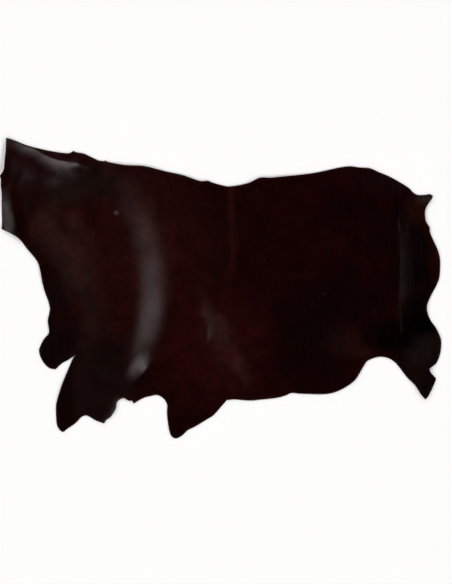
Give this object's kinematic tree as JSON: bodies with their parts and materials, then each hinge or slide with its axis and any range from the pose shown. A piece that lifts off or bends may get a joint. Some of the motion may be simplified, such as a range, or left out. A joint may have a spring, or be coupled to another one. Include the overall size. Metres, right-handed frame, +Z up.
{
  "type": "leather hide",
  "caption": "Side of a finished cattle hide, cut along the backbone and laid flat with the grain up, with its natural neck, leg and belly outline and a few soft folds.",
  "frame": {"origin": "under the middle of the side's box, on the surface that it lies on", "axes": "+X from the neck end to the rump, +Y from the belly to the backbone edge, +Z up out of the grain face"},
  "size_m": [1.9853, 1.3523, 0.024],
  "materials": {
    "leather": "glossy pigmented grain, suede flesh side"
  },
  "bodies": {
    "root": {"hide": "leather"}
  },
  "joints": []
}
